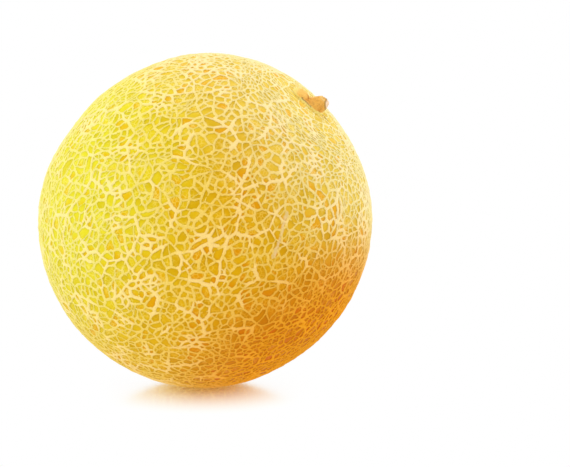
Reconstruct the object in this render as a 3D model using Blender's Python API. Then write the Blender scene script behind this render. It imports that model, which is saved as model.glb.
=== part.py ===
"""A whole netted melon with the dried stub of its stem, lying on its side on the small flat spot that it grew on.

Metres, +Z up. The origin is on the floor under the middle of the fruit. Each piece is shaped about the stem
axis, which is +Z while it is being made, and is then laid down. Along that axis +Z is the stem end, and the
stub leans towards +X.
"""

import math

import bmesh
import bpy
from mathutils import Matrix, Vector

# The fruit, a little longer than it is wide, with a full shoulder round a shallow dip at the stem.
FRUIT_LENGTH = 0.1454
FRUIT_WIDTH = 0.1420
SHOULDER_RISE = 0.0008
SHOULDER_ANGLE = math.radians(42)
SHOULDER_SPREAD = math.radians(18)
STEM_DIP = 0.0010
STEM_DIP_SPREAD = math.radians(10.5)
BLOSSOM_DIP = 0.0008
BLOSSOM_DIP_SPREAD = math.radians(11)

# How the fruit lies: its stem axis above the floor, turned about the upright, and rolled about itself.
STEM_TILT = math.radians(49)
STEM_TURN = math.radians(-17)
STEM_ROLL = math.radians(10)
FLAT_SPOT_RADIUS = 0.0080

# Where the fruit is fuller or flatter than a true ellipsoid as it lies: turn, elevation, rise and spread.
SWELLINGS = (
    (math.radians(-14), math.radians(-30), 0.0012, math.radians(36)),
    (math.radians(52), math.radians(76), 0.0008, math.radians(24)),
    (math.radians(176), math.radians(36), -0.0009, math.radians(8)),
    (math.radians(180), math.radians(2), 0.0004, math.radians(24)),
    (math.radians(95), math.radians(-10), 0.0007, math.radians(32)),
    (math.radians(-100), math.radians(15), -0.0004, math.radians(30)),
    (math.radians(16), math.radians(53), 0.0007, math.radians(16)),
    (math.radians(-8), math.radians(-4), 0.0005, math.radians(24)),
    (0.0, math.radians(-88), 0.0012, math.radians(22)),
    (math.radians(178), math.radians(12), 0.0005, math.radians(16)),
    (math.radians(20), math.radians(28), -0.0004, math.radians(14)),
)

# The stem: a low oval scar let into the dip, and the stub that stands at one end of it.
SCAR_LENGTH = 0.0162
SCAR_WIDTH = 0.0116
SCAR_DEPTH = 0.0020
SCAR_RISE = 0.0012
SCAR_TAPER = 0.86
STUB_OFFSET = 0.0033
STUB_FOOT_RADIUS = 0.0049
STUB_RADIUS = 0.0037
STUB_TOP_RADIUS = 0.0027
STUB_HEIGHT = 0.0056
STUB_LEAN = 0.0015
FIT_GAP = 0.0003

FRUIT_SEGMENTS = 72
FRUIT_RINGS = 46
POLE_CROWDING = 0.16
STEM_SIDES = 28

POLAR_RADIUS = FRUIT_LENGTH / 2
SIDE_RADIUS = FRUIT_WIDTH / 2
LAID_DOWN = (
    Matrix.Rotation(STEM_TURN, 4, "Z")
    @ Matrix.Rotation(math.pi / 2 - STEM_TILT, 4, "Y")
    @ Matrix.Rotation(STEM_ROLL, 4, "Z")
)


def bell(distance, spread):
    """A smooth bump that is 1 in the middle and fades out over spread."""
    return math.exp(-((distance / spread) ** 2))


def toward(turn, elevation):
    """The unit direction at this turn about the upright and this elevation."""
    level = math.cos(elevation)
    return Vector((level * math.cos(turn), level * math.sin(turn), math.sin(elevation)))


def fruit_radius(direction):
    """The fruit's radius along a unit direction, with the stem at +Z."""
    from_stem = direction.angle(Vector((0, 0, 1)))
    across = math.sin(from_stem) / SIDE_RADIUS
    along = math.cos(from_stem) / POLAR_RADIUS
    radius = 1 / math.hypot(across, along)
    radius += SHOULDER_RISE * bell(from_stem - SHOULDER_ANGLE, SHOULDER_SPREAD)
    radius -= STEM_DIP * bell(from_stem, STEM_DIP_SPREAD)
    radius -= BLOSSOM_DIP * bell(math.pi - from_stem, BLOSSOM_DIP_SPREAD)
    as_it_lies = LAID_DOWN.to_3x3() @ direction
    for turn, elevation, rise, spread in SWELLINGS:
        radius += rise * bell(as_it_lies.angle(toward(turn, elevation)), spread)
    return radius


def new_object(name, bm, collection, material=None):
    """An object made from bm, in the given collection."""
    mesh = bpy.data.meshes.new(name)
    bm.to_mesh(mesh)
    bm.free()
    mesh.shade_smooth()
    obj = bpy.data.objects.new(name, mesh)
    collection.objects.link(obj)
    if material is not None:
        mesh.materials.append(material)
    return obj


def finish(name, colour, roughness):
    """A plain, non-metallic material."""
    material = bpy.data.materials.new(name)
    material.use_nodes = True
    shader = material.node_tree.nodes["Principled BSDF"]
    shader.inputs["Base Color"].default_value = (*colour, 1)
    shader.inputs["Roughness"].default_value = roughness
    shader.inputs["Metallic"].default_value = 0.0
    return material


def fruit_solid():
    """The fruit about its own axis, before it is laid down, with its rings closer together at the ends."""
    bm = bmesh.new()
    bmesh.ops.create_uvsphere(bm, u_segments=FRUIT_SEGMENTS, v_segments=FRUIT_RINGS, radius=1)
    for vert in bm.verts:
        elevation = math.asin(max(-1.0, min(1.0, vert.co.z)))
        elevation += POLE_CROWDING * math.sin(2 * elevation)
        direction = toward(math.atan2(vert.co.y, vert.co.x), elevation)
        vert.co = direction * fruit_radius(direction)
    return bm


def oval_ring(bm, height, half_length, half_width, shift):
    """A ring of points across the stem axis at this height, its middle moved along +X by shift."""
    ring = []
    for side in range(STEM_SIDES):
        angle = 2 * math.pi * side / STEM_SIDES
        point = (shift + half_length * math.cos(angle), half_width * math.sin(angle), height)
        ring.append(bm.verts.new(point))
    return ring


def lofted(rings):
    """A closed solid skinned over (height, half length, half width, shift) rings, lowest first."""
    bm = bmesh.new()
    made = [oval_ring(bm, *ring) for ring in rings]
    bm.faces.new(reversed(made[0]))
    bm.faces.new(made[-1])
    for lower, upper in zip(made, made[1:]):
        for side in range(STEM_SIDES):
            following = (side + 1) % STEM_SIDES
            bm.faces.new((lower[side], lower[following], upper[following], upper[side]))
    return bm


def scar_rings(grow):
    """The foot of the stem, which lies in its socket, grown all round by grow."""
    low = (-SCAR_DEPTH - grow, SCAR_LENGTH / 2 * SCAR_TAPER + grow, SCAR_WIDTH / 2 * SCAR_TAPER + grow, 0.0)
    high = (0.0, SCAR_LENGTH / 2 + grow, SCAR_WIDTH / 2 + grow, 0.0)
    return [low, high]


def socket_solid():
    """What the socket takes out of the fruit: the foot of the stem, grown by the gap and open at the top."""
    rings = scar_rings(FIT_GAP)
    rings.append((STUB_HEIGHT, *rings[-1][1:]))
    return lofted(rings)


def stem_solid():
    """The oval scar and the leaning stub on it, with the skin at the pole as height 0."""
    rings = scar_rings(0.0)
    rings.append((SCAR_RISE * 0.7, SCAR_LENGTH * 0.47, SCAR_WIDTH * 0.47, 0.0))
    rings.append((SCAR_RISE, STUB_FOOT_RADIUS * 1.1, STUB_FOOT_RADIUS, STUB_OFFSET * 0.75))
    waist = (STUB_HEIGHT + SCAR_RISE) / 2
    rings.append((waist, STUB_RADIUS, STUB_RADIUS, STUB_OFFSET + STUB_LEAN / 2))
    top_shift = STUB_OFFSET + STUB_LEAN
    rings.append((STUB_HEIGHT * 0.9, STUB_TOP_RADIUS, STUB_TOP_RADIUS, top_shift))
    rings.append((STUB_HEIGHT, STUB_TOP_RADIUS * 0.8, STUB_TOP_RADIUS * 0.8, top_shift))
    return lofted(rings)


def cut_flat_spot(bm, floor):
    """Cuts the laid fruit off level at the height floor, and closes the cut."""
    whole = bm.verts[:] + bm.edges[:] + bm.faces[:]
    cut = bmesh.ops.bisect_plane(
        bm, geom=whole, dist=1e-7, plane_co=(0, 0, floor), plane_no=(0, 0, 1), clear_inner=True
    )
    rim = [edge for edge in cut["geom_cut"] if isinstance(edge, bmesh.types.BMEdge)]
    bmesh.ops.edgeloop_fill(bm, edges=rim)


def mark_flat_spot(mesh):
    """Gives the flat spot a crisp rim, so that it is shaded flat."""
    sharp = mesh.attributes["sharp_edge"].data
    for face in mesh.polygons:
        if face.normal.z < -0.9999:
            for loop in face.loop_indices:
                sharp[mesh.loops[loop].edge_index].value = True


def floor_height(bm):
    """The height at which a level cut through the laid fruit has the flat spot's radius."""
    lowest = min(vert.co.z for vert in bm.verts)
    return lowest + SIDE_RADIUS - math.sqrt(SIDE_RADIUS**2 - FLAT_SPOT_RADIUS**2)


def apply_boolean(obj, cutter):
    """Cuts the socket out of obj for good."""
    cut = obj.modifiers.new("socket", "BOOLEAN")
    cut.operation = "DIFFERENCE"
    cut.solver = "EXACT"
    cut.object = cutter
    graph = bpy.context.evaluated_depsgraph_get()
    mesh = bpy.data.meshes.new_from_object(obj.evaluated_get(graph))
    obj.modifiers.clear()
    obj.data = mesh
    mesh.name = obj.name


def clear_scene():
    for obj in list(bpy.data.objects):
        bpy.data.objects.remove(obj)


def new_collection(name):
    collection = bpy.data.collections.new(name)
    bpy.context.scene.collection.children.link(collection)
    return collection


def main():
    clear_scene()
    parts = new_collection("melon")
    cutters = new_collection("cutters")
    rind = finish("rind", (0.80, 0.52, 0.06), 0.45)
    dry_stem = finish("dry_stem", (0.45, 0.25, 0.08), 0.85)

    # The socket is cut first, about the stem axis, so that the stem sits in the dip at the pole.
    pole_height = fruit_radius(Vector((0, 0, 1)))
    onto_pole = Matrix.Translation((0, 0, pole_height))
    fruit = new_object("fruit", fruit_solid(), parts, rind)
    cutter = new_object("socket_cutter", socket_solid(), cutters)
    cutter.data.transform(onto_pole)
    cutter.hide_render = True
    cutter.display_type = "WIRE"
    apply_boolean(fruit, cutter)

    bm = bmesh.new()
    bm.from_mesh(fruit.data)
    bm.transform(LAID_DOWN)
    floor = floor_height(bm)
    cut_flat_spot(bm, floor)
    xs = [vert.co.x for vert in bm.verts]
    ys = [vert.co.y for vert in bm.verts]
    middle = Vector(((min(xs) + max(xs)) / 2, (min(ys) + max(ys)) / 2, floor))
    bmesh.ops.translate(bm, vec=-middle, verts=bm.verts)
    bm.to_mesh(fruit.data)
    bm.free()
    fruit.data.set_sharp_from_angle(angle=math.radians(40))
    mark_flat_spot(fruit.data)

    stem = new_object("stem_stub", stem_solid(), parts, dry_stem)
    stem.data.set_sharp_from_angle(angle=math.radians(50))
    stem.matrix_world = Matrix.Translation(-middle) @ LAID_DOWN @ onto_pole


main()
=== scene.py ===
"""A whole netted melon, lying on its side on the small flat spot that it grew on, in a white studio.

The rind is one mesh. Its net is worked out over the fruit cell by cell: strands of cork meet at junctions,
and each cell between them has a floor of waxy yellow skin. The dried stem is a second piece, set into the
dip at the stem end. Metres, +Z up.
"""
import random
from math import asin, atan2, cos, exp, hypot, pi, radians, sin, sqrt, tan

import bmesh
import bpy
from mathutils import Matrix, Vector, noise
from mathutils.bvhtree import BVHTree


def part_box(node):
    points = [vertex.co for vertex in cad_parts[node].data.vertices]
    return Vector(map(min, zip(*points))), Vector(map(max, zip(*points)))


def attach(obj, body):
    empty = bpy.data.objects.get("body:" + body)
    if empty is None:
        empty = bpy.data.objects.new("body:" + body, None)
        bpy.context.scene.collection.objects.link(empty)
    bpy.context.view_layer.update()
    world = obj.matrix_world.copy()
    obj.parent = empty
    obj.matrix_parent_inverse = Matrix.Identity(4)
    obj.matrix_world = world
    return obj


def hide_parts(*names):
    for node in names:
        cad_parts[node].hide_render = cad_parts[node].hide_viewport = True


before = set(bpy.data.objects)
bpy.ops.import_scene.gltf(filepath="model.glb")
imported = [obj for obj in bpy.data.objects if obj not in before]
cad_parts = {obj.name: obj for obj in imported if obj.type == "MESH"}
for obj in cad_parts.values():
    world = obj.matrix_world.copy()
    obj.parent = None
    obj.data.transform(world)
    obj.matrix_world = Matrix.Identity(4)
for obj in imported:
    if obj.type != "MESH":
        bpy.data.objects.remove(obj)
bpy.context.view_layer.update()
MM = 0.001


def mm(*lengths):
    """Lengths in millimetres, as metres."""
    return tuple(length * MM for length in lengths)


# How the fruit lies, as in the solid model.
STEM_TILT = radians(49)
STEM_TURN = radians(-17)
STEM_ROLL = radians(10)
SCAR_DEPTH = 2.0 * MM
LAID_DOWN = (
    Matrix.Rotation(STEM_TURN, 3, "Z")
    @ Matrix.Rotation(pi / 2 - STEM_TILT, 3, "Y")
    @ Matrix.Rotation(STEM_ROLL, 3, "Z")
)
UP = Vector((0, 0, 1))
STEM_AXIS = LAID_DOWN @ UP

FRUIT_LOW, FRUIT_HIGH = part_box("fruit")
CENTRE = (FRUIT_LOW + FRUIT_HIGH) / 2
MEAN_RADIUS = sum(FRUIT_HIGH - FRUIT_LOW) / 6

# The smooth body under the net, smoothed most over the stem's socket.
BODY_FINENESS = 6
SOCKET_REACH = radians(9)
BODY_SMOOTHINGS = (("close", "socket", 120), ("even", "", 6))

# The net starts as big cells, which main strands split, and then finer and finer ones, down to an area that
# varies from patch to patch and cell to cell, and is larger towards one side and smaller near the stem.
NET_SEED = 11
BIG_CELLS = 170
BIG_CELL_GAP = 0.7
CELL_AREA = 14.4 * MM**2
CELL_SPREAD = 0.26
PATCHINESS = 0.4
PATCH_SCALE = 4.5
SMALLEST_CELL = 3.4 * MM**2
LARGE_CELL_AREA = 26 * MM**2
LARGE_CELL_SHARE = 0.03
FILLED_CELL_AREA = 1.5 * MM**2
STRAND_AREAS = (380 * MM**2, 34 * MM**2)
LARGER_TOWARDS = Vector((-0.55, -0.35, 0.76))
LARGER_BY = 0.2
NEAR_STEM = (radians(17), radians(42))
NEAR_STEM_AREA = 0.62
LONG_AROUND_STEM = 0.72
LONG_ELSEWHERE = 1.15

# How a strand that splits a cell swings, shifts, snaps to corners, bows and wobbles.
SPLIT_SWING = radians(16)
SPLIT_SHIFT = 0.15
SNAP = 0.5 * MM
STRAND_STEP = 2.8 * MM
BOW = 0.18
WOBBLE = 0.26

# How the net is evened out, how hard each level of strand pulls, and how bent cells are opened.
RELAX_STEPS = 4
RELAX = 0.4
PULLS = (2.6, 1.6, 1.0)
MERGE_DISTANCE = 0.4 * MM
OPENING_ROUNDS = 6
LEAST_ROOM = 0.3 * MM
SEARCH_STEPS = 14
FIRST_STEP = 0.25
STEP_SHRINKS = 0.8

# How the net is stretched round the stem, wanders, and changes the level of its strands.
STEM_STRETCH = 0.5
STEM_STRETCH_REACH = radians(17)
WANDERS = ((4.0, 0.030), (11.0, 0.014), (26.0, 0.005))
STRETCH_SCALE = 7.0
THINNED_BELOW = -0.02
STRENGTHENED_ABOVE = 0.34

# Each level of strand, from the main ones to the finest: half width at its foot, and height above the skin.
# Noise swells and thins them in waves, given by scale and share.
STRANDS = (mm(0.84, 0.62), mm(0.67, 0.50), mm(0.50, 0.37))
WIDTH_WAVES = ((14, 0.45), (60, 0.35))
MAIN_WIDTH_WAVE = (5, 0.6)
MAIN_WAVE_SHIFT = Vector((3, 8, 1))
LEAST_WIDTH = 0.45
WIDTH_DRAW = (0.85, 1.15)
HEIGHT_DRAW = (0.8, 1.25)
OPEN_SHARE = 0.22
OPEN_LEAVES = 0.25

# The shoulder of a main strand, how far strands may reach into a cell, and its floor.
SHOULDER_OUT = 0.42
SHOULDER_UP = 0.86
CORNER_FILL = 1.25
WIDEST_REACH = 0.7
LEAST_DEPTH = 0.05 * MM
STRAIGHT_BEND = 0.94
LEAST_FLOOR_SIDE = 0.15
NARROWER = (1.0, 0.7, 0.45, 0.25, 0.1)
SKIN_DEPTH = 0.38 * MM
PILLOW = 0.05
RINGED_CELL_AREA = 20 * MM**2
RING_IN = 0.45
RING_UP = 0.75

# Each cell's tint, and painted shade across each cell: riper towards its lower left, greener away from it.
TINT_WAVES = ((7, 0.45), (20, 0.45))
TINT_SPREAD = 0.15
CELL_SHADE_TOWARDS = Vector((-0.45, -0.3, -0.84))
CELL_SHADE_BY = 0.16

# Where the net fades out at the two ends of the fruit, and how much of it is left.
CALM_AT_STEM = (radians(7), radians(22))
CALM_AT_BLOSSOM = (radians(5), radians(11))
CALM_CORK = 0.72
CALM_HEIGHT = 0.35
CALM_NARROWER = 0.2


def smooth_step(low, high, value):
    """0 below low, 1 above high, and smooth between them."""
    share = max(0.0, min(1.0, (value - low) / (high - low)))
    return share * share * (3 - 2 * share)


def only(obj):
    """Selects obj alone and makes it active."""
    bpy.ops.object.select_all(action="DESELECT")
    obj.select_set(True)
    bpy.context.view_layer.objects.active = obj


def new_primitive(add, name, scale=(1, 1, 1), **settings):
    """Adds a primitive with nothing else selected, and applies its place, turn and scale."""
    bpy.ops.object.select_all(action="DESELECT")
    add(**settings)
    obj = bpy.context.object
    obj.name = name
    obj.scale = scale
    bpy.ops.object.transform_apply(location=True, rotation=True, scale=True)
    return obj


def apply_modifier(obj, name, kind, **settings):
    """Adds a modifier to obj, which is the active object, and applies it."""
    modifier = obj.modifiers.new(name, kind)
    for setting, value in settings.items():
        setattr(modifier, setting, value)
    bpy.ops.object.modifier_apply(modifier=name)


def calm(direction):
    """How far the net is faded out in this direction: 0 over most of the fruit, 1 at its two ends."""
    from_stem = direction.angle(STEM_AXIS)
    at_stem = 1 - smooth_step(*CALM_AT_STEM, from_stem)
    at_blossom = 1 - smooth_step(*CALM_AT_BLOSSOM, pi - from_stem)
    return max(at_stem, at_blossom)


def smooth_body():
    """The fruit's own shape with its stem socket closed over, as a fine mesh that the net is laid on."""
    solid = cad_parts["fruit"]
    corners = [vert.co for vert in solid.data.vertices]
    tree = BVHTree.FromPolygons(corners, [face.vertices for face in solid.data.polygons])
    body = new_primitive(
        bpy.ops.mesh.primitive_ico_sphere_add, "smooth_body",
        subdivisions=BODY_FINENESS, radius=MEAN_RADIUS, location=CENTRE,
    )
    stem_middle = sum(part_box("stem_stub"), Vector()) / 2
    socket = body.vertex_groups.new(name="socket")
    for vert in body.data.vertices:
        direction = (vert.co - CENTRE).normalized()
        vert.co = tree.ray_cast(CENTRE, direction)[0]
        if direction.angle(stem_middle - CENTRE) < SOCKET_REACH:
            socket.add([vert.index], 1.0, "REPLACE")
    for name, group, repeats in BODY_SMOOTHINGS:
        apply_modifier(body, name, "SMOOTH", vertex_group=group, factor=0.5, iterations=repeats)
    return body


# The net, worked out on a unit sphere whose +Z is the stem end, and then laid on the body.


def big_cells(draw, count):
    """The first few cells: a mesh of irregular polygons all over the unit sphere."""
    bm = bmesh.new()
    spacing = sqrt(4 * pi / count)
    placed = []
    while len(placed) < count:
        up = draw.uniform(-1, 1)
        turn = draw.uniform(-pi, pi)
        level = sqrt(1 - up * up)
        point = Vector((level * cos(turn), level * sin(turn), up))
        if all((point - other).length > BIG_CELL_GAP * spacing for other in placed):
            placed.append(point)
            bm.verts.new(point)
    bmesh.ops.convex_hull(bm, input=bm.verts[:])
    bm.faces.index_update()
    cells = bmesh.new()
    corners = []
    for face in bm.faces:
        a, b, c = (v.co for v in face.verts[:3])
        out = (b - a).cross(c - a).normalized()
        corners.append(cells.verts.new(out if out.dot(a) > 0 else -out))
    for vert in bm.verts:
        side = vert.co.orthogonal().normalized()
        ahead = vert.co.normalized().cross(side)
        around = [corners[face.index] for face in vert.link_faces]
        around.sort(key=lambda corner: atan2(corner.co.dot(ahead), corner.co.dot(side)))
        cells.faces.new(around)
    bm.free()
    return cells


def flat_map(direction):
    """Two directions on the sphere at this point: level, and towards the stem."""
    level = UP.cross(direction)
    level = level.normalized() if level.length > 0.01 else Vector((1, 0, 0))
    return level, direction.cross(level)


def near_stem(direction):
    """1 round the stem and 0 over the rest of the fruit."""
    return 1 - smooth_step(*NEAR_STEM, direction.angle(UP))


def cell_shape(face):
    """The middle of a cell, its area in square metres, and its long direction."""
    middle = Vector()
    around = 0.0
    for loop in face.loops:
        here, following = loop.vert.co, loop.link_loop_next.vert.co
        length = (following - here).length
        middle += (here + following) / 2 * length
        around += length
    middle = (middle / around).normalized()
    level, north = flat_map(middle)
    stretch = LONG_ELSEWHERE + (LONG_AROUND_STEM - LONG_ELSEWHERE) * near_stem(middle)
    xx = xy = yy = area = 0.0
    for loop in face.loops:
        here, following = loop.vert.co - middle, loop.link_loop_next.vert.co - middle
        x, y = here.dot(level), here.dot(north)
        next_x, next_y = following.dot(level), following.dot(north)
        area += (x * next_y - next_x * y) / 2
        length = hypot(next_x - x, next_y - y)
        mid_x, mid_y = (x + next_x) / 2, (y + next_y) / 2 / stretch
        xx += mid_x * mid_x * length
        xy += mid_x * mid_y * length
        yy += mid_y * mid_y * length
    angle = 0.5 * atan2(2 * xy, xx - yy)
    long_way = (level * cos(angle) + north * sin(angle)).normalized()
    return middle, area * MEAN_RADIUS**2, long_way


def crossings(face, middle, across, through):
    """Where the line through this point, in the direction across, meets the cell's outline."""
    out = middle.cross(across)
    found = []
    for loop in face.loops:
        here, following = loop.vert.co, loop.link_loop_next.vert.co
        before, after = (here - through).dot(out), (following - through).dot(out)
        if (before < 0) != (after < 0):
            found.append((loop, before / (before - after)))
    return found


def strand_end(found):
    """Where a strand meets the cell's outline: a corner close by, or how to split the edge there."""
    loop, share = found
    edge, vert = loop.edge, loop.vert
    length = edge.calc_length() * MEAN_RADIUS
    if share * length < SNAP:
        return vert
    if (1 - share) * length < SNAP:
        return edge.other_vert(vert)
    return edge, vert, share


def split_cell(bm, face, draw, level_of):
    """Splits a cell by a strand, and returns the two, or nothing if it can't be split well."""
    middle, area, long_way = cell_shape(face)
    across = middle.cross(long_way)
    swing = draw.gauss(0, SPLIT_SWING)
    across = (across * cos(swing) + long_way * sin(swing)).normalized()
    shift = draw.uniform(-SPLIT_SHIFT, SPLIT_SHIFT) * sqrt(area) / MEAN_RADIUS
    found = crossings(face, middle, across, middle + long_way * shift)
    if len(found) != 2:
        return []
    ends = []
    for end in [strand_end(crossing) for crossing in found]:
        if isinstance(end, tuple):
            end = bmesh.utils.edge_split(*end)[1]
            end.co.normalize()
        ends.append(end)
    first, second = ends
    if first == second or any(first in edge.verts and second in edge.verts for edge in face.edges):
        return []
    run = second.co - first.co
    pieces = int(run.length * MEAN_RADIUS / STRAND_STEP + 0.5)
    sideways = run.cross(middle)
    bow = draw.uniform(-BOW, BOW)
    between = []
    for step in range(1, pieces):
        share = step / pieces
        wobble = bow * sin(pi * share) + draw.uniform(-WOBBLE, WOBBLE) / pieces
        between.append((first.co + run * share + sideways * wobble).normalized())
    known = set(face.edges)
    other, _ = bmesh.utils.face_split(face, first, second, coords=between, use_exist=False)
    level = sum(area < limit for limit in STRAND_AREAS)
    for edge in other.edges:
        if edge not in known:
            edge[level_of] = level
    return [face, other]


def relax(bm, level_of):
    """Evens out the strands, which are pulled along most by the main ones."""
    for _ in range(RELAX_STEPS):
        moved = []
        for vert in bm.verts:
            total = Vector()
            weight = 0.0
            for edge in vert.link_edges:
                pull = PULLS[edge[level_of]]
                total += edge.other_vert(vert).co * pull
                weight += pull
            moved.append(vert.co.lerp(total / weight, RELAX).normalized())
        for vert, place in zip(bm.verts, moved):
            vert.co = place


def open_middle(spots, middle):
    """The point in a cell about as far as can be from all its sides, and how far that is."""
    sides = []
    for index, spot in enumerate(spots):
        run = spot - spots[index - 1]
        if run.length > 1e-6:
            sides.append((spot, middle.cross(run).normalized()))
    step = FIRST_STEP * sum((spot - middle).length for spot in spots) / len(spots)
    best, best_room = middle, -1.0
    place = middle
    for _ in range(SEARCH_STEPS):
        rooms = [(place - spot).dot(inward) for spot, inward in sides]
        room = min(rooms)
        if room > best_room:
            best, best_room = place, room
        place = place + sides[rooms.index(room)][1] * step
        step *= STEP_SHRINKS
    return best.normalized(), best_room * MEAN_RADIUS


def open_up(bm):
    """Straightens the sides of cells so bent that no point in them sees all their corners."""
    for _ in range(OPENING_ROUNDS):
        bent = set()
        for face in bm.faces:
            middle = cell_shape(face)[0]
            if open_middle([loop.vert.co for loop in face.loops], middle)[1] < LEAST_ROOM:
                bent.update(face.verts)
        moved = []
        for vert in bent:
            around = [edge.other_vert(vert).co for edge in vert.link_edges]
            moved.append((vert, vert.co.lerp(sum(around, Vector()) / len(around), 0.5).normalized()))
        for vert, place in moved:
            vert.co = place
        if not bent:
            break


def vary_levels(bm, level_of):
    """Lets main strands thin out for a stretch here and there, and some finer ones grow stronger."""
    for edge in bm.edges:
        growth = noise.noise((edge.verts[0].co + edge.verts[1].co) / 2 * STRETCH_SCALE)
        if edge[level_of] == 0 and growth < THINNED_BELOW:
            edge[level_of] = 1
        elif edge[level_of] == 1 and growth > STRENGTHENED_ABOVE:
            edge[level_of] = 0


def net_cells(draw):
    """The net's cells on the unit sphere, and each edge's level, from 0 for main to 2 for fine."""
    bm = big_cells(draw, BIG_CELLS)
    level_of = bm.edges.layers.int.new("level")
    waiting = list(bm.faces)
    while waiting:
        face = waiting.pop()
        middle, area, _ = cell_shape(face)
        patch = exp(PATCHINESS * noise.noise(middle * PATCH_SCALE))
        patch *= 1 + (NEAR_STEM_AREA - 1) * near_stem(middle)
        patch *= exp(LARGER_BY * (LAID_DOWN @ middle).dot(LARGER_TOWARDS))
        wanted = CELL_AREA * patch * exp(draw.gauss(0, CELL_SPREAD))
        if draw.random() < LARGE_CELL_SHARE:
            wanted = LARGE_CELL_AREA * patch
        if area > max(wanted, SMALLEST_CELL):
            waiting.extend(split_cell(bm, face, draw, level_of))
    relax(bm, level_of)
    bmesh.ops.remove_doubles(bm, verts=bm.verts[:], dist=MERGE_DISTANCE / MEAN_RADIUS)
    for vert in bm.verts:
        vert.co = stretched(vert.co)
    open_up(bm)
    vary_levels(bm, level_of)
    return bm, level_of


def stretched(direction):
    """Stretches the net round the stem, and makes it wander a little."""
    from_stem = direction.angle(UP)
    opened = from_stem * (1 + STEM_STRETCH * exp(-((from_stem / STEM_STRETCH_REACH) ** 2)))
    turn = atan2(direction.y, direction.x)
    level = sin(opened)
    placed = Vector((level * cos(turn), level * sin(turn), cos(opened)))
    for scale, reach in WANDERS:
        placed += noise.noise_vector(direction * scale) * reach
    return placed.normalized()


# What each point of the rind carries for its materials.
CARRIED = ("cork", "tint", "strand")


class RindMesh:
    """Points with what each carries, and faces, collected for one mesh."""

    def __init__(self, tree):
        self.tree = tree
        self.points = []
        self.faces = []

    def add(self, direction, rise, cork, tint, strand):
        """A point on the body in this direction, raised by rise, and never below the floor."""
        world = LAID_DOWN @ direction
        place = self.tree.ray_cast(CENTRE, world)[0] + world * rise
        place.z = max(place.z, 0.0)
        self.points.append((place, rise, cork, tint, strand))
        return len(self.points) - 1


def lay_net(draw, tree):
    """The whole rind as one closed mesh: every strand a ridge, and every cell a floor between ridges."""
    bm, level_of = net_cells(draw)
    bm.verts.index_update()
    half_width = {}
    for edge in bm.edges:
        middle = (edge.verts[0].co + edge.verts[1].co) / 2
        level = edge[level_of]
        vigour = 1
        for scale, reach in WIDTH_WAVES:
            vigour += reach * noise.noise(middle * scale)
        if level == 0:
            scale, reach = MAIN_WIDTH_WAVE
            vigour *= 1 + reach * noise.noise(middle * scale + MAIN_WAVE_SHIFT)
        vigour *= exp(LARGER_BY / 2 * (LAID_DOWN @ middle).dot(LARGER_TOWARDS))
        half_width[edge] = STRANDS[level][0] * max(LEAST_WIDTH, vigour * draw.uniform(*WIDTH_DRAW))
    rind = RindMesh(tree)
    crest = []
    for vert in bm.verts:
        quiet = calm(LAID_DOWN @ vert.co)
        level = min(edge[level_of] for edge in vert.link_edges)
        height = STRANDS[level][1] * draw.uniform(*HEIGHT_DRAW) * (1 + (CALM_HEIGHT - 1) * quiet)
        cork = 1 + (CALM_CORK - 1) * quiet
        if level == 2 and len(vert.link_edges) == 2 and draw.random() < OPEN_SHARE:
            left = draw.uniform(0.0, OPEN_LEAVES)
            height *= left
            cork *= left
        crest.append(rind.add(vert.co, height - SKIN_DEPTH, cork, 0.5, 1 - level / 2))
    for face in bm.faces:
        add_cell(rind, face, half_width, crest, level_of, draw)
    bm.free()
    return rind


def pairs(items):
    """Each item with the next one, and the last one with the first."""
    items = list(items)
    return zip(items, items[1:] + items[:1])


def turned_over(spots, feet, middle):
    """Whether any face between a cell's outline, its feet and its middle would be turned over."""
    for (spot, foot), (next_spot, next_foot) in pairs(zip(spots, feet)):
        for a, b, c in ((spot, next_spot, next_foot), (spot, next_foot, foot), (foot, next_foot, middle)):
            if (b - a).cross(c - a).dot(middle) <= 0:
                return True
    return False


def feet_that_fit(spots, middle, widths, fills):
    """The feet of a cell's strands, which are made narrower until no face is turned over."""
    for narrower in NARROWER:
        feet = feet_of_strands(spots, middle, [width * narrower for width in widths], fills)
        if not turned_over(spots, feet, middle):
            break
    return feet


def feet_of_strands(spots, middle, widths, fills):
    """Where the strands round a cell meet its floor: its outline brought in by their half widths, and at each
    corner by a little more."""
    inward = []
    depth = []
    for spot, next_spot in pairs(spots):
        inward.append(middle.cross(next_spot - spot).normalized())
        depth.append(max((middle - spot).dot(inward[-1]), LEAST_DEPTH / MEAN_RADIUS))
    widths = [min(width / MEAN_RADIUS, WIDEST_REACH * deep) for width, deep in zip(widths, depth)]
    feet = []
    for index, spot in enumerate(spots):
        one, two = inward[index - 1], inward[index]
        wide_one, wide_two = widths[index - 1], widths[index]
        bend = one.dot(two)
        if abs(bend) > STRAIGHT_BEND:
            move = (one + two).normalized() * (wide_one + wide_two) / 2
        else:
            move = one * (wide_one - wide_two * bend) + two * (wide_two - wide_one * bend)
            move /= 1 - bend * bend
        foot = spot + move * fills[index]
        if (foot - spot).length > WIDEST_REACH * (middle - spot).length:
            foot = spot.lerp(middle, WIDEST_REACH)
        feet.append(foot)
    crossed = False
    for (spot, foot, side), (next_spot, next_foot, _) in pairs(zip(spots, feet, inward)):
        run = next_spot - spot
        crossed = crossed or (next_foot - foot).dot(run) <= LEAST_FLOOR_SIDE * run.dot(run)
        crossed = crossed or min((middle - foot).dot(side), (middle - next_foot).dot(side)) <= 0
    if crossed:
        feet = []
        for index, spot in enumerate(spots):
            share = (widths[index] / depth[index] + widths[index - 1] / depth[index - 1]) / 2
            feet.append(spot.lerp(middle, min(WIDEST_REACH, share)))
    return feet


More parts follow.
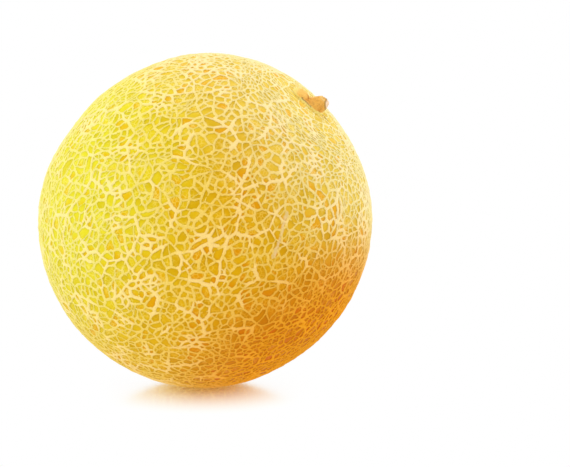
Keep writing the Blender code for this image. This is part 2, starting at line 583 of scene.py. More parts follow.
def add_cell(rind, face, half_width, crest, level_of, draw):
    """One cell: the slopes of its strands, and its floor. A very small cell is filled with cork."""
    loops = face.loops[:]
    spots = [loop.vert.co for loop in loops]
    middle, area, _ = cell_shape(face)
    if area < FILLED_CELL_AREA:
        rind.faces.append([crest[loop.vert.index] for loop in loops])
        return
    middle, _ = open_middle(spots, middle)
    quiet = calm(LAID_DOWN @ middle)
    size = sqrt(area)
    tint = 0.5
    for scale, reach in TINT_WAVES:
        tint += reach * noise.noise(middle * scale)
    tint += draw.gauss(0, TINT_SPREAD)
    widths = [half_width[loop.edge] * (1 - CALM_NARROWER * quiet) for loop in loops]
    fills = [draw.uniform(1.0, CORNER_FILL) if len(loop.vert.link_edges) > 2 else 1.0 for loop in loops]
    feet = feet_that_fit(spots, middle, widths, fills)
    ring = []
    for loop, spot, foot in zip(loops, spots, feet):
        level = min(loop.edge[level_of], loop.link_loop_prev.edge[level_of])
        strand = 1 - level / 2
        # Painted shade: feet on the lower-left side of each cell get a riper, darker tint, those opposite a
        # greener one.
        lean = (LAID_DOWN @ (foot - middle)).normalized().dot(CELL_SHADE_TOWARDS) * CELL_SHADE_BY
        low = inside = rind.add(foot.normalized(), -SKIN_DEPTH, 0.0, tint + lean, strand)
        top = shoulder = crest[loop.vert.index]
        if level == 0:
            _, rise, cork, _, _ = rind.points[top]
            rise = -SKIN_DEPTH + (rise + SKIN_DEPTH) * SHOULDER_UP
            out = spot.lerp(foot, SHOULDER_OUT).normalized()
            shoulder = rind.add(out, rise, cork * SHOULDER_UP, tint, strand)
        if area > RINGED_CELL_AREA:
            inward = foot.lerp(middle, RING_IN).normalized()
            inside = rind.add(inward, PILLOW * size * RING_UP - SKIN_DEPTH, 0.0, tint, 0.5)
        ring.append((top, shoulder, low, inside))
    centre = rind.add(middle, PILLOW * size - SKIN_DEPTH, 0.0, tint, 0.5)
    for (top, shoulder, low, inside), (next_top, next_shoulder, next_low, next_inside) in pairs(ring):
        # Where there is no shoulder, the crest stands in for it.
        slope = list(dict.fromkeys((top, next_top, next_shoulder, shoulder)))
        if len(slope) > 2:
            rind.faces.append(slope)
        rind.faces.append((shoulder, next_shoulder, next_low, low))
        if inside != low:
            rind.faces.append((low, next_low, next_inside, inside))
        rind.faces.append((inside, next_inside, centre))


def netted_rind(draw):
    """The rind as one object, with its net laid on the smooth body, which isn't kept."""
    noise.seed_set(NET_SEED)
    body = smooth_body()
    tree = BVHTree.FromObject(body, bpy.context.evaluated_depsgraph_get())
    rind = lay_net(draw, tree)
    bpy.data.objects.remove(body)
    mesh = bpy.data.meshes.new("netted_rind")
    places, _, *carried = zip(*rind.points)
    mesh.from_pydata(places, [], rind.faces)
    for name, values in zip(CARRIED, carried):
        mesh.attributes.new(name, "FLOAT", "POINT").data.foreach_set("value", values)
    obj = bpy.data.objects.new("netted_rind", mesh)
    bpy.context.scene.collection.objects.link(obj)
    mesh.shade_smooth()
    return obj


RIND = netted_rind(random.Random(NET_SEED))


# The dried stem, shaped about its own axis with the skin at height 0, and then laid down: a low oval collar,
# the broken stub that leans over it, and a swelling beside the stub.
COLLAR_LENGTH = 16.4 * MM
COLLAR_WIDTH = 11.8 * MM
COLLAR_TOP = 0.3 * MM
STUB_SIDES = 40
STUB_FOOT_RADIUS = 4.4 * MM
STUB_FOOT_WIDER = 1.25
STUB_FOOT_AT = 3.2 * MM
STUB_FOOT_TOP = 0.6 * MM
STUB_HOLLOW = 0.7 * MM
SWELLING_AT = mm(-4.8, -0.5, 0.1)
SWELLING_SIZE = mm(3.9, 4.6, 1.8)
SWELLING_TURN = (0, radians(-12), radians(8))
STEM_VOXEL = 0.22 * MM
STEM_LUMPS = (("gnarls", 2.8 * MM, 0.5 * MM), ("warts", 0.9 * MM, 0.12 * MM))
HAIR = 0.01 * MM

# How the stub goes on up from its foot: each stage's rise, lean along +X and spread.
STUB_STAGES = (
    (1.2 * MM, 0.55 * MM, 0.92),
    (1.3 * MM, 0.45 * MM, 0.86),
    (1.3 * MM, 0.35 * MM, 0.80),
    (0.8 * MM, 0.1 * MM, 0.80),
)

# The flutes down the stub: spacing, least distance from the axis, width, squeeze, and rise in millimetres.
STUB_SEED = 4
FLUTES = STUB_SIDES // 4
FLUTE_SPACING = (-0.2, 0.2)
FLUTE_FROM = 2.2 * MM
FLUTE_WIDTH = 0.988
FLUTE_SQUEEZE = (0.86, 0.95)
FLUTE_RISE = (-0.4, 0.2)


def stem_pole():
    """Where the stem axis leaves the skin, which is above the middle of the solid stem's foot."""
    upright = LAID_DOWN.transposed()
    places = [upright @ vert.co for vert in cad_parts["stem_stub"].data.vertices]
    lowest = min(place.z for place in places)
    foot = [place for place in places if place.z < lowest + 0.05 * MM]
    middle = []
    for axis in (0, 1):
        along = [place[axis] for place in foot]
        middle.append((min(along) + max(along)) / 2)
    return LAID_DOWN @ Vector((*middle, lowest + SCAR_DEPTH))


POLE = stem_pole()


def pick(obj, kind, test):
    """Goes into edit mode and selects the verts or faces of obj whose middle passes the test."""
    only(obj)
    bpy.ops.object.mode_set(mode="EDIT")
    bpy.ops.mesh.select_mode(type="VERT" if kind == "verts" else "FACE")
    bpy.ops.mesh.select_all(action="DESELECT")
    bm = bmesh.from_edit_mesh(obj.data)
    for item in getattr(bm, kind):
        item.select_set(test(item.co if kind == "verts" else item.calc_center_median()))
    bmesh.update_edit_mesh(obj.data)


def leave():
    """Goes back to object mode."""
    bpy.ops.object.mode_set(mode="OBJECT")


def stem_collar():
    """The low oval collar of cork that the stub grows out of, with a sloping edge."""
    collar = new_primitive(
        bpy.ops.mesh.primitive_cylinder_add, "collar",
        scale=(COLLAR_LENGTH / 2, COLLAR_WIDTH / 2, SCAR_DEPTH * 1.2),
        vertices=48, radius=1, depth=1, location=(0, 0, COLLAR_TOP - SCAR_DEPTH * 0.8),
    )
    top = max(vert.co.z for vert in collar.data.vertices)
    pick(collar, "faces", lambda place: place.z > top - HAIR)
    bpy.ops.mesh.inset(thickness=1.0 * MM, depth=0.45 * MM)
    bpy.ops.mesh.inset(thickness=1.2 * MM, depth=-0.15 * MM)
    leave()
    return collar


def stem_stub():
    """The broken stub: a fluted column that leans over, flares a little and is hollow at its end."""
    stub = new_primitive(
        bpy.ops.mesh.primitive_cylinder_add, "stub", scale=(1, STUB_FOOT_WIDER, 1), vertices=STUB_SIDES,
        radius=STUB_FOOT_RADIUS, depth=1.6 * MM, location=(STUB_FOOT_AT, 0, STUB_FOOT_TOP - 0.8 * MM),
    )
    height, middle = STUB_FOOT_TOP, STUB_FOOT_AT
    pick(stub, "faces", lambda place: place.z > height - HAIR)
    for rise, lean, spread in STUB_STAGES:
        bpy.ops.mesh.extrude_region_move(TRANSFORM_OT_translate={"value": (lean, 0, rise)})
        height, middle = height + rise, middle + lean
        bpy.ops.transform.resize(value=(spread, spread, 1), center_override=(middle, 0, height))
    bpy.ops.mesh.inset(thickness=0.5 * MM, depth=0.1 * MM)
    bpy.ops.mesh.inset(thickness=0.5 * MM, depth=-STUB_HOLLOW)
    leave()
    draw = random.Random(STUB_SEED)
    axis = middle * 0.8
    for flute in range(FLUTES):
        angle = 2 * pi * (flute + draw.uniform(*FLUTE_SPACING)) / FLUTES
        out = Vector((cos(angle), sin(angle)))

        def in_flute(place):
            side = Vector((place.x - axis, place.y))
            return place.z > 0 and side.length > FLUTE_FROM and side.normalized().dot(out) > FLUTE_WIDTH

        pick(stub, "verts", in_flute)
        squeeze = draw.uniform(*FLUTE_SQUEEZE)
        bpy.ops.transform.resize(value=(squeeze, squeeze, 1), center_override=(axis, 0, height))
        bpy.ops.transform.translate(value=(0, 0, draw.uniform(*FLUTE_RISE) * MM))
        leave()
    return stub


def stem_swelling():
    """The swelling on the collar beside the stub, with a crease between them."""
    return new_primitive(
        bpy.ops.mesh.primitive_uv_sphere_add, "swelling", scale=SWELLING_SIZE,
        segments=32, ring_count=16, radius=1, location=SWELLING_AT, rotation=SWELLING_TURN,
    )


def dried_stem():
    """The collar, the stub and the swelling grown into one rough, woody piece."""
    parts = [stem_collar(), stem_stub(), stem_swelling()]
    only(parts[0])
    for part in parts:
        part.select_set(True)
    bpy.ops.object.join()
    stem = bpy.context.object
    stem.name = "dried_stem"
    stem.data.name = "dried_stem"
    apply_modifier(stem, "grown together", "REMESH", mode="VOXEL", voxel_size=STEM_VOXEL)
    apply_modifier(stem, "softened", "SMOOTH", factor=0.5, iterations=3)
    for name, size, strength in STEM_LUMPS:
        lumps = bpy.data.textures.new(name, "CLOUDS")
        lumps.noise_scale = size
        lumps.noise_depth = 1
        apply_modifier(stem, name, "DISPLACE", texture=lumps, texture_coords="LOCAL", strength=strength)
        bpy.data.textures.remove(lumps)
    stem.data.transform(Matrix.Translation(POLE) @ LAID_DOWN.to_4x4())
    stem.data.shade_smooth()
    return stem


STEM = dried_stem()


# Materials. Every pattern is on Object coordinates or on the values that the mesh carries.


def feed(tree, socket, value):
    """Joins this socket to another one, or sets it to a value."""
    if isinstance(value, bpy.types.NodeSocket):
        tree.links.new(value, socket)
    else:
        socket.default_value = value


def add_node(tree, kind, inputs=None, **settings):
    """A node of this kind, with its settings made and its inputs joined or set."""
    node = tree.nodes.new(kind)
    for name, value in settings.items():
        setattr(node, name, value)
    for key, value in (inputs or {}).items():
        feed(tree, node.inputs[key], value)
    return node


def colour(red, green, blue):
    """A colour given as it looks on the screen, from 0 to 255, as shader values."""
    shares = [value / 255 for value in (red, green, blue)]
    return (*(((c + 0.055) / 1.055) ** 2.4 if c > 0.04 else c / 12.92 for c in shares), 1)


def mixed(tree, share, first, second, blend="MIX"):
    """The colour first, blended with second by share."""
    inputs = {0: share, 6: first, 7: second}
    return add_node(tree, "ShaderNodeMix", inputs, data_type="RGBA", blend_type=blend).outputs[2]


def tinted(tree, first, second):
    """The product of two colours."""
    return mixed(tree, 1.0, first, second, "MULTIPLY")


def grey(tree, value):
    """This value as a colour."""
    return add_node(tree, "ShaderNodeCombineColor", dict.fromkeys(range(3), value)).outputs[0]


def sum_up(tree, operation, *values):
    """A Math node on these values."""
    return add_node(tree, "ShaderNodeMath", dict(enumerate(values)), operation=operation).outputs[0]


def times(tree, first, second):
    """The product of two values."""
    return sum_up(tree, "MULTIPLY", first, second)


def vector_sum(tree, operation, *values):
    """A Vector Math node on these values."""
    node = add_node(tree, "ShaderNodeVectorMath", dict(enumerate(values)), operation=operation)
    return node.outputs["Value" if operation in ("DOT_PRODUCT", "LENGTH", "DISTANCE") else "Vector"]


def ramp(tree, value, low, high, to_low=0.0, to_high=1.0, smooth=True):
    """value, taken from the range low to high into the range to_low to to_high."""
    kind = "SMOOTHSTEP" if smooth else "LINEAR"
    inputs = {"Value": value, "From Min": low, "From Max": high, "To Min": to_low, "To Max": to_high}
    return add_node(tree, "ShaderNodeMapRange", inputs, interpolation_type=kind).outputs[0]


def centred(tree, value, low, high, reach):
    """Noise, taken from the range low to high into the range from minus reach to reach."""
    return ramp(tree, value, low, high, -reach, reach, smooth=False)


def own_place(tree):
    """Where a spot is on its own piece."""
    return add_node(tree, "ShaderNodeTexCoord").outputs["Object"]


def cloudy(tree, place, scale, detail=3.0, roughness=0.55, distortion=0.0):
    """Soft noise from 0 to 1, with lumps of about one part in scale of a metre."""
    inputs = {"Vector": place, "Scale": scale, "Detail": detail, "Roughness": roughness}
    inputs["Distortion"] = distortion
    return add_node(tree, "ShaderNodeTexNoise", inputs).outputs["Fac"]


def cellular(tree, place, scale, feature="F1"):
    """The outputs of a pattern of cells of about one part in scale of a metre."""
    inputs = {"Vector": place, "Scale": scale, "Randomness": 1.0}
    return add_node(tree, "ShaderNodeTexVoronoi", inputs, feature=feature).outputs


def towards(tree, place, direction, low, high):
    """1 on the side of the fruit that faces this direction and 0 away from it."""
    moved = vector_sum(tree, "SUBTRACT", place, CENTRE)
    along = vector_sum(tree, "DOT_PRODUCT", moved, Vector(direction).normalized())
    return ramp(tree, along, low * MEAN_RADIUS, high * MEAN_RADIUS)


def new_group(name, inputs, outputs):
    """An empty node group, with its inputs and outputs given by name and kind."""
    tree = bpy.data.node_groups.new(name, "ShaderNodeTree")
    for side, sockets in (("INPUT", inputs), ("OUTPUT", outputs)):
        for title, kind in sockets.items():
            tree.interface.new_socket(title, in_out=side, socket_type="NodeSocket" + kind)
    return tree, tree.nodes.new("NodeGroupInput").outputs, tree.nodes.new("NodeGroupOutput").inputs


def corky_grain():
    """The dry grain of cork: its lumps and pits, and the colour that they give a surface."""
    inputs = {"Vector": "Vector", "Size": "Float", "Colour": "Color", "Depth": "Float"}
    tree, given, wanted = new_group("corky grain", inputs, {"Colour": "Color", "Height": "Float"})
    lumps = cloudy(tree, given["Vector"], given["Size"], 4.0, 0.6)
    pits = cellular(tree, given["Vector"], given["Size"])["Distance"]
    height = sum_up(tree, "ADD", lumps, times(tree, pits, 0.5))
    shade = times(tree, ramp(tree, height, 0.35, 0.95), given["Depth"])
    level = sum_up(tree, "ADD", sum_up(tree, "SUBTRACT", 1.0, given["Depth"]), shade)
    tree.links.new(tinted(tree, given["Colour"], grey(tree, level)), wanted["Colour"])
    tree.links.new(height, wanted["Height"])
    return tree


def ripe_blotches():
    """Soft patches of a second colour on a first one."""
    inputs = {"Vector": "Vector", "Size": "Float", "Colour": "Color", "Patch": "Color", "Share": "Float"}
    tree, given, wanted = new_group("ripe blotches", inputs, {"Colour": "Color"})
    mask = ramp(tree, cloudy(tree, given["Vector"], given["Size"], 4.0, 0.6, 0.4), 0.38, 0.66)
    share = times(tree, mask, given["Share"])
    tree.links.new(mixed(tree, share, given["Colour"], given["Patch"]), wanted["Colour"])
    return tree


CORKY_GRAIN = corky_grain()
RIPE_BLOTCHES = ripe_blotches()


def placed_group(tree, group, **inputs):
    """The outputs of a node group, with its inputs joined or set."""
    return add_node(tree, "ShaderNodeGroup", inputs, node_tree=group).outputs


def new_material(name, settings):
    """A material with these settings of its shader. Returns it, its nodes and the shader."""
    material = bpy.data.materials.new(name)
    material.use_nodes = True
    shader = material.node_tree.nodes["Principled BSDF"]
    for key, value in settings.items():
        shader.inputs[key].default_value = value
    return material, material.node_tree, shader


def give_surface(tree, shader, surface, rough, relief, strength, deepest):
    """Gives a shader its colour and roughness, and a relief that the light falls on."""
    bump = add_node(tree, "ShaderNodeBump", {"Height": relief, "Strength": strength, "Distance": deepest})
    tree.links.new(surface, shader.inputs["Base Color"])
    tree.links.new(rough, shader.inputs["Roughness"])
    tree.links.new(bump.outputs[0], shader.inputs["Normal"])


# The rind's colours: skin, and then net. Each side of the fruit is given by its direction, and the shares of
# the radius between which its colour comes in.
GOLDEN = colour(225, 170, 10), colour(254, 211, 80)
# LEMON comes in towards the upper left, where the key light falls: partly a greener skin, partly painted
# light.
LEMON = colour(230, 220, 40), colour(249, 240, 126)
# SHEEN_HAZE is painted sheen: the pale haze that back light gives the upper right limb, in skin and net
# alike.
SHEEN_HAZE = colour(236, 203, 76), colour(254, 238, 166)
# AMBER comes in towards the lower front: partly riper skin, partly painted shade and warm bounce light.
AMBER = colour(209, 118, 2), colour(246, 163, 27)
LEMON_AND_LIT_SIDE = (-0.9, -0.25, 0.35), 0.1, 0.95
SHEEN_HAZE_SIDE = (0.72, 0.1, 0.69), 0.1, 0.9
RIPE_AND_SHADED_SIDE = (0.56, -0.40, -0.725), 0.55, 0.96
LEMON_AND_LIT_CLOUDS = 30

# What changes the skin: the cell's tint, shade beside its strands, specks and hairlines.
GREENER = colour(238, 230, 170), 0.5, 0.12
RIPER = colour(255, 220, 110), 0.56, 0.94
MOST_TINTED = 0.85
SHADE_BESIDE_NET = (0.0, 0.22, 1.0, 0.82)
SPECK = colour(150, 118, 50)
SPECK_SCALE = 210.0
SPECK_CHOSEN = (0.86, 0.88)
SPECK_EDGE = (0.13, 0.05)
SPECK_STRENGTH = 0.55
HAIRLINE_SCALE = 620.0
HAIRLINE_EDGE = (0.03, 0.13)
HAIRLINE_PATCHES = 130

# THIN_NET is how much skin shows through the finest strands, and THICK_NET how pinkish the main ones are.
# Edges are values of cork between which net or ridge begins, after noise has made them ragged.
PINKISH = colour(255, 227, 184)
THIN_NET = 0.22
THICK_NET = 0.36
THICK_POWER = 1.6
RAGGED_SCALE = 900
RAGGED_BY = 0.29
NET_EDGE = (0.20, 0.42)
RIDGE_EDGE = (0.1, 0.8)
RIND_GRAIN = {"Size": 2200.0, "Depth": 0.16}
RIND_RELIEF = (0.8, 0.18 * MM)
RIND_SHINE = {
    "Specular IOR Level": 0.03,
    "Sheen Weight": 0.03,
    "Sheen Roughness": 0.5,
    "Sheen Tint": (1.0, 0.95, 0.75, 1),
}

# Marks on the rind. The scratch runs between two directions from the fruit's middle, the crack between two
# places beside the stem.
HEALED = colour(240, 208, 146)
SCAR = colour(206, 160, 96)
# The brown of cracks, also used for the painted shadow under the stub's foot.
CRACK_AND_SHADOW = colour(140, 108, 62)
HEALED_SCRATCH = ((0.465, -0.865, 0.187), (0.39, -0.919, -0.059))
SCRATCH_HALF_WIDTH = 0.9 * MM
STEM_CRACK = (mm(8.7, 0.8), mm(11.7, -0.7))
CRACK_AND_SHADOW_HALF_WIDTH = 0.45 * MM
BLOSSOM_SCAR_RADIUS = 4.6 * MM
MARKS_ROUGH_SCALE = 420

# Places on the stem, about its own axis. The stub's broken end starts at a dark line, this far along a
# slanting direction.
BROKEN_END = (0.76, 0, 0.65)
BROKEN_FROM = 7.2 * MM
# The two ends of the painted shadow line under the stub's foot.
FOOT_SHADOW_LINE = (mm(-3.4, -5.0, 0.3), mm(1.6, -5.6, 0.3))
# Where the painted shade in the crease beside the stub is darkest.
SHADED_CREASE_AT = mm(-1.7, -1.0, 1.0)
# Where the painted highlight along the stub's upper edge is brightest.
HIGHLIT_EDGE_AT = mm(0.2, 1.6, 2.6)

# The colours over the stem's tan: what each goes by, the values between which it comes in, its strength.
TAN = colour(240, 178, 80)
BROWN = colour(176, 114, 44)
ORANGE = colour(252, 198, 98)
STRAW_HIGHLIGHT = colour(252, 220, 146)
YELLOW = colour(252, 236, 140)
PINK_END_AND_HIGHLIGHT = colour(252, 226, 200)
STEM_COLOURS = (
    ("fibres", 0.5, 0.34, 0.4, BROWN),
    ("along", -1.4 * MM, -2.8 * MM, 0.85, ORANGE),
    ("along", -5.6 * MM, -7.4 * MM, 0.8, YELLOW),
    # Painted shade in the crease between the stub and the swelling.
    ("crease", 1.7 * MM, 0.5 * MM, 0.7, BROWN),
    # Painted highlight along the stub's upper edge.
    ("upper edge", 2.4 * MM, 1.2 * MM, 0.8, STRAW_HIGHLIGHT),
    ("up", 0.45 * MM, 0.0, 1.0, YELLOW),
    # Painted highlight round the top of the stub.
    ("up", 4.3 * MM, 5.4 * MM, 0.65, STRAW_HIGHLIGHT),
    # The broken end is paler, and its pink is partly a painted highlight along the stub's right edge.
    ("broken", BROKEN_FROM, BROKEN_FROM + 0.4 * MM, 0.9, PINK_END_AND_HIGHLIGHT),
    ("dark line", 0.4 * MM, 0.15 * MM, 0.75, CRACK_AND_SHADOW),
)
FIBRE_SCALE = 1700
FIBRE_STRETCH = (1.0, 1.0, 0.16)
STEM_GRAIN = {"Size": 2600.0, "Depth": 0.2}
STEM_RELIEF = (0.9, 0.3 * MM)


def sides_of_fruit(tree, place):
    """How far each place is on the lemon and lit side, which is cloudy, the sheen side and the shaded ripe
    side.
    """
    clouds = ramp(tree, cloudy(tree, place, LEMON_AND_LIT_CLOUDS), 0.0, 0.6, 0.7, 1.0)
    lemon_and_lit = times(tree, towards(tree, place, *LEMON_AND_LIT_SIDE), clouds)
    return lemon_and_lit, towards(tree, place, *SHEEN_HAZE_SIDE), towards(tree, place, *RIPE_AND_SHADED_SIDE)


def rind_colours(tree, sides, which):
    """The colour of the skin (0) or of its net (1) over the whole fruit, with painted light, sheen and shade.
    """
    lemon_and_lit, sheen_haze, ripe = sides
    # Greener skin and painted light towards the upper left.
    result = mixed(tree, lemon_and_lit, GOLDEN[which], LEMON[which])
    # Painted sheen towards the upper right.
    result = mixed(tree, sheen_haze, result, SHEEN_HAZE[which])
    # Riper skin and painted shade towards the lower front.
    return mixed(tree, ripe, result, AMBER[which])


def line_on_skin(tree, ball, ends, half_width, rough):
    """1 along the line between two points on the ball, fading out at half_width, with uneven edges."""
    first, last = ends
    run = last - first
    moved = vector_sum(tree, "SUBTRACT", ball, first)
    along = vector_sum(tree, "DOT_PRODUCT", moved, run / run.length_squared)
    held = sum_up(tree, "MINIMUM", sum_up(tree, "MAXIMUM", along, 0.0), 1.0)
    away = vector_sum(tree, "DISTANCE", moved, vector_sum(tree, "MULTIPLY", run, held))
    uneven = sum_up(tree, "ADD", away, times(tree, rough, half_width))
    return ramp(tree, uneven, half_width * 1.3, half_width * 0.6)


def marks(tree, place):
    """Masks of the healed scratch, the scar that the flower left, and the crack beside the stem."""
    out = vector_sum(tree, "NORMALIZE", vector_sum(tree, "SUBTRACT", place, CENTRE))
    ball = vector_sum(tree, "MULTIPLY", out, (MEAN_RADIUS, MEAN_RADIUS, MEAN_RADIUS))
    rough = centred(tree, cloudy(tree, place, MARKS_ROUGH_SCALE), 0.25, 0.75, 0.6)
    scratch_ends = [Vector(end).normalized() * MEAN_RADIUS for end in HEALED_SCRATCH]
    scratch = line_on_skin(tree, ball, scratch_ends, SCRATCH_HALF_WIDTH, rough)
    crack_ends = [POLE + LAID_DOWN @ Vector((*end, 0)) - CENTRE for end in STEM_CRACK]
    crack_ends = [end.normalized() * MEAN_RADIUS for end in crack_ends]
    crack = line_on_skin(tree, ball, crack_ends, CRACK_AND_SHADOW_HALF_WIDTH, rough)
    away = vector_sum(tree, "DISTANCE", ball, -STEM_AXIS * MEAN_RADIUS)
    uneven = sum_up(tree, "ADD", away, times(tree, rough, 1.2 * MM))
    scar = ramp(tree, uneven, BLOSSOM_SCAR_RADIUS, BLOSSOM_SCAR_RADIUS * 0.7)
    return scratch, scar, crack


def skin_colour(tree, place, sides, cork, tint):
    """Waxy skin: each cell greener or riper, darker along its strands, with a few specks."""
    base = rind_colours(tree, sides, 0)
    skin = base
    # Each cell's tint also carries the painted shade across the cell.
    for shade, low, high in (GREENER, RIPER):
        share = ramp(tree, tint, low, high, 0.0, MOST_TINTED)
        skin = mixed(tree, share, skin, tinted(tree, base, shade))
    skin = tinted(tree, skin, grey(tree, ramp(tree, cork, *SHADE_BESIDE_NET)))
    dots = cellular(tree, place, SPECK_SCALE)
    number = add_node(tree, "ShaderNodeSeparateColor", {0: dots["Color"]}).outputs[0]
    chosen = ramp(tree, number, *SPECK_CHOSEN)
    speck = times(tree, ramp(tree, dots["Distance"], *SPECK_EDGE), chosen)
    return mixed(tree, times(tree, speck, SPECK_STRENGTH), skin, SPECK)


def net_colour(tree, sides, skin, strand):
    """Dry cork: the fine strands let the skin show through, and the main ones are pinkish."""
    thin = ramp(tree, strand, 0.0, 0.8, THIN_NET, 0.0, smooth=False)
    result = mixed(tree, thin, rind_colours(tree, sides, 1), skin)
    thick = times(tree, sum_up(tree, "POWER", strand, THICK_POWER), THICK_NET)
    # The main strands are less pinkish on the riper side, which also carries painted shade.
    not_ripe_and_shaded = sum_up(tree, "SUBTRACT", 1.0, sides[2])
    return mixed(tree, times(tree, thick, not_ripe_and_shaded), result, PINKISH)


def rind_material():
    """Waxy yellow skin, and over it a dry net, as wide as the mesh and some noise say."""
    material, tree, shader = new_material("netted rind", RIND_SHINE)
    place = own_place(tree)
    carriers = [add_node(tree, "ShaderNodeAttribute", attribute_name=name) for name in CARRIED]
    cork, tint, strand = (carrier.outputs["Fac"] for carrier in carriers)
    sides = sides_of_fruit(tree, place)

    ragged = centred(tree, cloudy(tree, place, RAGGED_SCALE), 0.25, 0.75, RAGGED_BY)
    ragged_cork = sum_up(tree, "ADD", cork, ragged)
    net = ramp(tree, ragged_cork, *NET_EDGE)
    ridge = ramp(tree, ragged_cork, *RIDGE_EDGE)

    lines = cellular(tree, place, HAIRLINE_SCALE, "DISTANCE_TO_EDGE")["Distance"]
    patchy = ramp(tree, cloudy(tree, place, HAIRLINE_PATCHES, 2.0), 0.42, 0.6)
    hair = times(tree, ramp(tree, lines, *HAIRLINE_EDGE, 1.0, 0.0), patchy)

    skin = skin_colour(tree, place, sides, cork, tint)
    cork_colour = net_colour(tree, sides, skin, strand)
    skin = mixed(tree, times(tree, hair, 0.5), skin, rind_colours(tree, sides, 1))
    scratch, scar, crack = marks(tree, place)
    skin = mixed(tree, times(tree, scratch, 0.85), skin, HEALED)
    cork_colour = mixed(tree, times(tree, scratch, 0.6), cork_colour, HEALED)
    grain = placed_group(tree, CORKY_GRAIN, Vector=place, Colour=cork_colour, **RIND_GRAIN)
    surface = mixed(tree, net, skin, grain["Colour"])
    blotches = {"Vector": place, "Size": 400.0, "Colour": HEALED, "Patch": SCAR, "Share": 0.8}
    surface = mixed(tree, scar, surface, placed_group(tree, RIPE_BLOTCHES, **blotches)["Colour"])
    surface = mixed(tree, times(tree, crack, 0.75), surface, CRACK_AND_SHADOW)

    rough = ramp(tree, sum_up(tree, "MAXIMUM", net, scar), 0.0, 1.0, 0.42, 0.8, smooth=False)
    relief = times(tree, ridge, ramp(tree, grain["Height"], 0.2, 1.0, 0.8, 1.0))
    relief = sum_up(tree, "ADD", relief, times(tree, hair, 0.15))
    relief = sum_up(tree, "SUBTRACT", relief, times(tree, crack, 1.5))
    give_surface(tree, shader, surface, rough, relief, *RIND_RELIEF)
    return material


def stem_material():
    """Dry brown fibres along the stub, paler at its broken end and base, with painted shade and highlights.
    """
    material, tree, shader = new_material("dried stem", {"Specular IOR Level": 0.2})
    place = own_place(tree)
    turned = {"Vector": place, "Location": POLE, "Rotation": LAID_DOWN.to_euler()}
    upright = add_node(tree, "ShaderNodeMapping", turned, vector_type="TEXTURE").outputs[0]
    parts = add_node(tree, "ShaderNodeSeparateXYZ", {0: upright}).outputs
    fibres = cloudy(tree, vector_sum(tree, "MULTIPLY", upright, FIBRE_STRETCH), FIBRE_SCALE, 3.0, 0.6)
    broken = vector_sum(tree, "DOT_PRODUCT", upright, BROKEN_END)
    goes_by = {
        "fibres": fibres,
        "along": parts["X"],
        "up": parts["Z"],
        "crease": vector_sum(tree, "DISTANCE", upright, SHADED_CREASE_AT),
        "upper edge": vector_sum(tree, "DISTANCE", upright, HIGHLIT_EDGE_AT),
        "broken": broken,
        "dark line": sum_up(tree, "ABSOLUTE", sum_up(tree, "SUBTRACT", broken, BROKEN_FROM)),
    }
    wood = TAN
    for what, low, high, strength, shade in STEM_COLOURS:
        wood = mixed(tree, ramp(tree, goes_by[what], low, high, 0.0, strength), wood, shade)
    rough = centred(tree, fibres, 0.3, 0.7, 0.6)
    # Painted shadow: a dark line along the foot of the stub.
    foot_shadow_ends = [Vector(end) for end in FOOT_SHADOW_LINE]
    foot_shadow = line_on_skin(tree, upright, foot_shadow_ends, CRACK_AND_SHADOW_HALF_WIDTH, rough)
    wood = mixed(tree, times(tree, foot_shadow, 0.7), wood, CRACK_AND_SHADOW)
    blotches = {"Vector": place, "Size": 420.0, "Colour": wood, "Patch": ORANGE, "Share": 0.3}
    wood = placed_group(tree, RIPE_BLOTCHES, **blotches)["Colour"]
    grain = placed_group(tree, CORKY_GRAIN, Vector=place, Colour=wood, **STEM_GRAIN)
    relief = sum_up(tree, "ADD", fibres, times(tree, grain["Height"], 0.5))
    rough = ramp(tree, fibres, 0.3, 0.7, 0.7, 0.95)
    give_surface(tree, shader, grain["Colour"], rough, relief, *STEM_RELIEF)
    return material


RIND.data.materials.append(rind_material())
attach(RIND, "root")
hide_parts("fruit")
STEM.data.materials.clear()
STEM.data.materials.append(stem_material())
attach(STEM, "root")
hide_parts("stem_stub")


# The studio. The white floor is lit from below. It mirrors what stands close by, red light least far and blue
# light farthest, so that the mirror image stays warm as it fades. Lights: name, place, size and power.
WHITE = (1, 1, 1, 1)
FLOOR_SIZE = 12
FLAT_SPOT = mm(-1.0, 0, 0)
MIRROR_REACHES = (mm(4, 44), mm(5, 54), mm(8, 57))
MIRROR_SHARE = 0.97
MIRROR_ROUGHNESS = 0.19
UNSEEN_MIRROR = 0.5
WHITE_LIGHT = 1.0
LIGHTS = (
    ("left softbox", (-0.9, -0.3, 0.5), 0.8, 2.2),
    ("right softbox", (0.9, 0.4, 0.5), 0.8, 2.5),
    ("top softbox", (0.0, 0.5, 1.1), 0.8, 2.0),
)


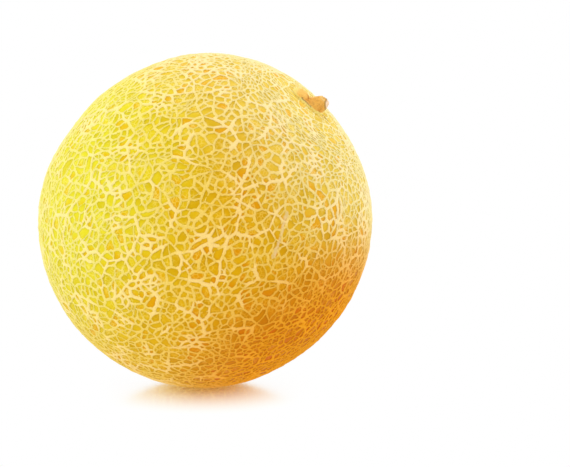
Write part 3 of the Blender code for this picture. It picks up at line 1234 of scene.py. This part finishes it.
def white_floor():
    """A white floor that glows, with a mirror image of what stands on it that shows only close by."""
    floor = new_primitive(bpy.ops.mesh.primitive_plane_add, "floor", size=FLOOR_SIZE, location=(0, 0, 0))
    material, tree, shader = new_material("white floor", {})
    tree.nodes.remove(shader)
    away = vector_sum(tree, "DISTANCE", own_place(tree), FLAT_SPOT)
    seen = add_node(tree, "ShaderNodeLightPath").outputs["Is Camera Ray"]
    most = ramp(tree, seen, 0.0, 1.0, UNSEEN_MIRROR * MIRROR_SHARE, MIRROR_SHARE, smooth=False)
    shares = [times(tree, most, ramp(tree, away, *reach, 1.0, 0.0)) for reach in MIRROR_REACHES]
    mirrored = add_node(tree, "ShaderNodeCombineColor", dict(enumerate(shares))).outputs[0]
    gloss = {"Color": mirrored, "Roughness": MIRROR_ROUGHNESS}
    mirror = add_node(tree, "ShaderNodeBsdfGlossy", gloss).outputs[0]
    rest = mixed(tree, 1.0, WHITE, mirrored, "SUBTRACT")
    glow = add_node(tree, "ShaderNodeEmission", {"Color": rest, "Strength": WHITE_LIGHT}).outputs[0]
    surface = add_node(tree, "ShaderNodeAddShader", {0: mirror, 1: glow}).outputs[0]
    tree.links.new(surface, tree.nodes["Material Output"].inputs["Surface"])
    floor.data.materials.append(material)


def studio():
    """White all round, and soft lights."""
    scene = bpy.context.scene
    scene.view_settings.view_transform = "Standard"
    world = bpy.data.worlds.new("white studio")
    world.use_nodes = True
    backdrop = world.node_tree.nodes["Background"].inputs
    backdrop["Color"].default_value = WHITE
    backdrop["Strength"].default_value = WHITE_LIGHT
    scene.world = world
    for name, place, size, power in LIGHTS:
        light = bpy.data.lights.new(name, "AREA")
        light.shape = "SQUARE"
        light.size = size
        light.energy = power
        lamp = bpy.data.objects.new(name, light)
        lamp.location = place
        lamp.rotation_euler = (CENTRE - Vector(place)).to_track_quat("-Z", "Y").to_euler()
        scene.collection.objects.link(lamp)


# The camera looks at the fruit from a little above level, and is then turned so that the fruit lands where it
# does in the picture, left of the middle. Places in the picture are in its pixels.
CAMERA_HEIGHT = radians(9.7)
CAMERA_DISTANCE = 1.0
PICTURE_WIDTH = 570
FRUIT_ACROSS = 331.3
FRUIT_RIGHT_OF_MIDDLE = -79.5
FRUIT_ABOVE_MIDDLE = 13.5


def camera():
    """The camera, with a lens that shows the fruit as large as it should be."""
    data = bpy.data.cameras.new("camera")
    cam = bpy.data.objects.new("camera", data)
    bpy.context.scene.collection.objects.link(cam)
    bpy.context.scene.camera = cam
    forward = Vector((0, cos(CAMERA_HEIGHT), -sin(CAMERA_HEIGHT)))
    up = Vector((0, sin(CAMERA_HEIGHT), cos(CAMERA_HEIGHT)))
    half_angle = asin(MEAN_RADIUS / CAMERA_DISTANCE)
    pixel = 2 * CAMERA_DISTANCE * tan(half_angle) / FRUIT_ACROSS
    data.sensor_width = 36
    data.lens = data.sensor_width * CAMERA_DISTANCE / (pixel * PICTURE_WIDTH)
    cam.location = CENTRE - forward * CAMERA_DISTANCE
    aim = CENTRE - Vector((1, 0, 0)) * FRUIT_RIGHT_OF_MIDDLE * pixel - up * FRUIT_ABOVE_MIDDLE * pixel
    cam.rotation_euler = (aim - cam.location).to_track_quat("-Z", "Y").to_euler()


white_floor()
studio()
camera()
